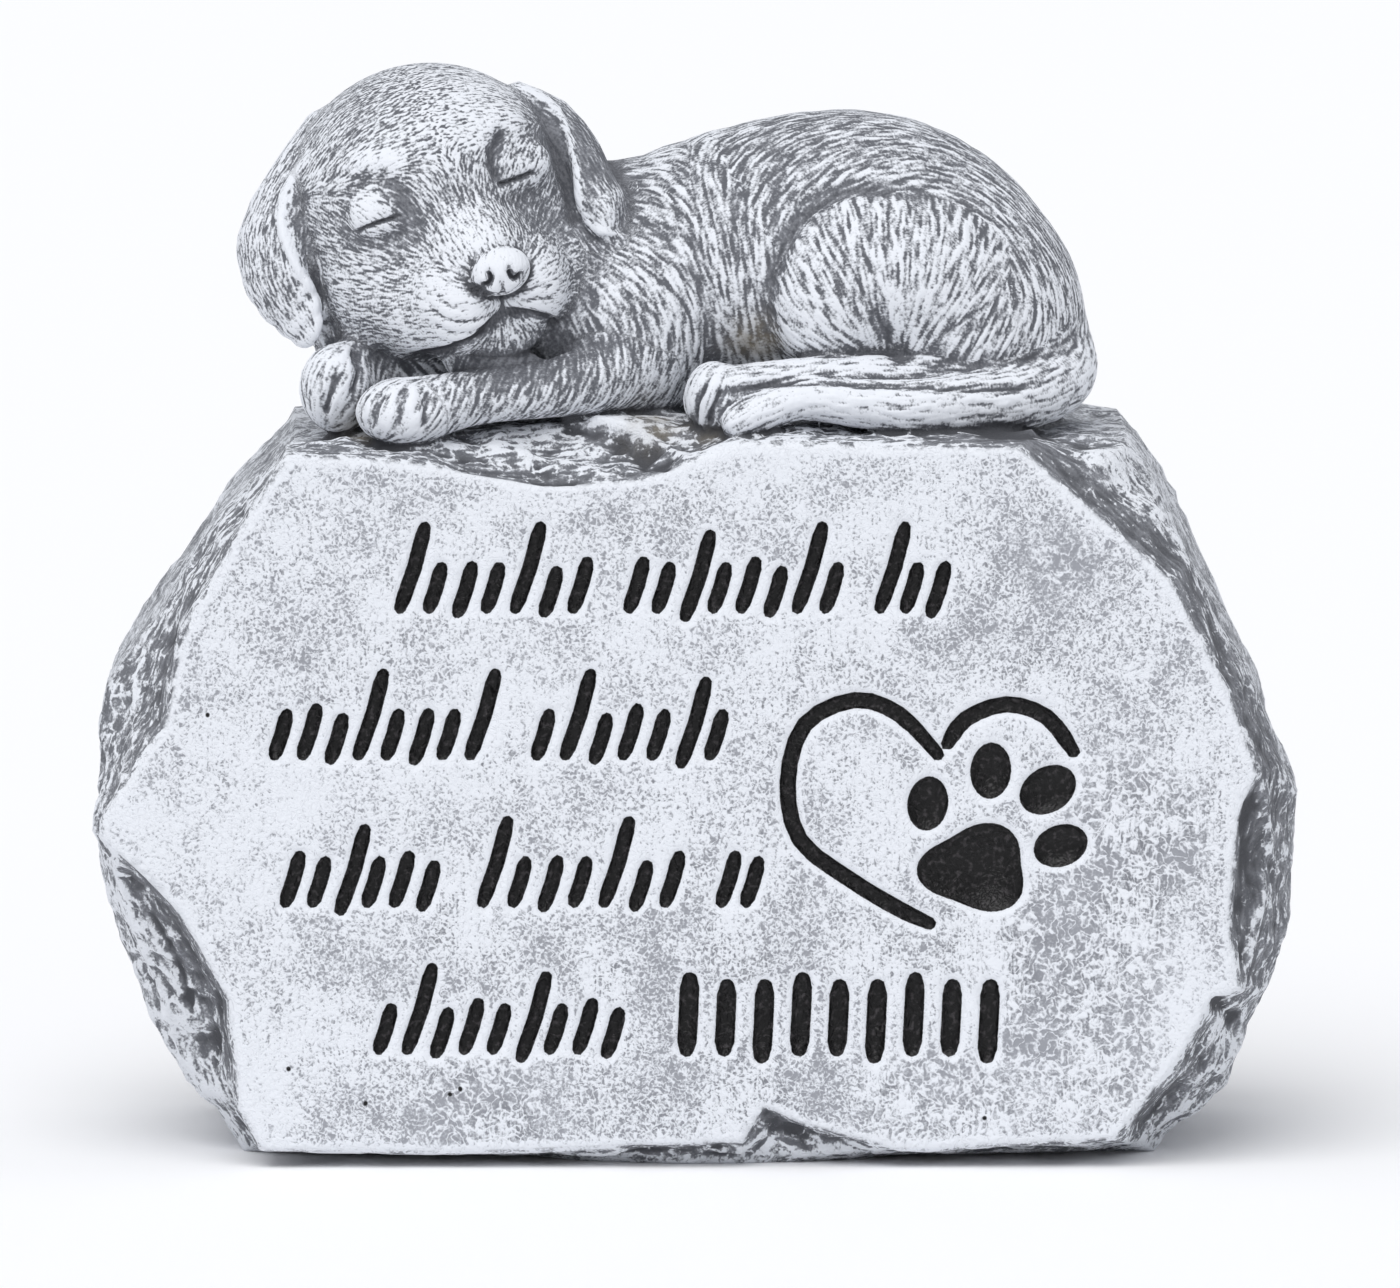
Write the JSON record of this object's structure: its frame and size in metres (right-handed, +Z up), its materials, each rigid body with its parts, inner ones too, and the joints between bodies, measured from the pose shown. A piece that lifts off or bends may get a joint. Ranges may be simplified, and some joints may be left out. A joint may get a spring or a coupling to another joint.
{
  "type": "pet memorial statue",
  "caption": "Cast-stone pet memorial: a sleeping puppy lies on top of an upright rough-edged stone whose face holds rows of engraved strokes, a heart line and a paw print",
  "frame": {"origin": "middle of the flat underside", "axes": "+Z up, +X to the viewer's right along the slab's width, the engraved face looks along -Y"},
  "size_m": [0.222, 0.084, 0.1999],
  "materials": {
    "cast_stone": "rough cast stone, grey with white dry brushing, black paint in the engraving"
  },
  "bodies": {
    "root": {"memorial_stone": "cast_stone"}
  },
  "joints": []
}
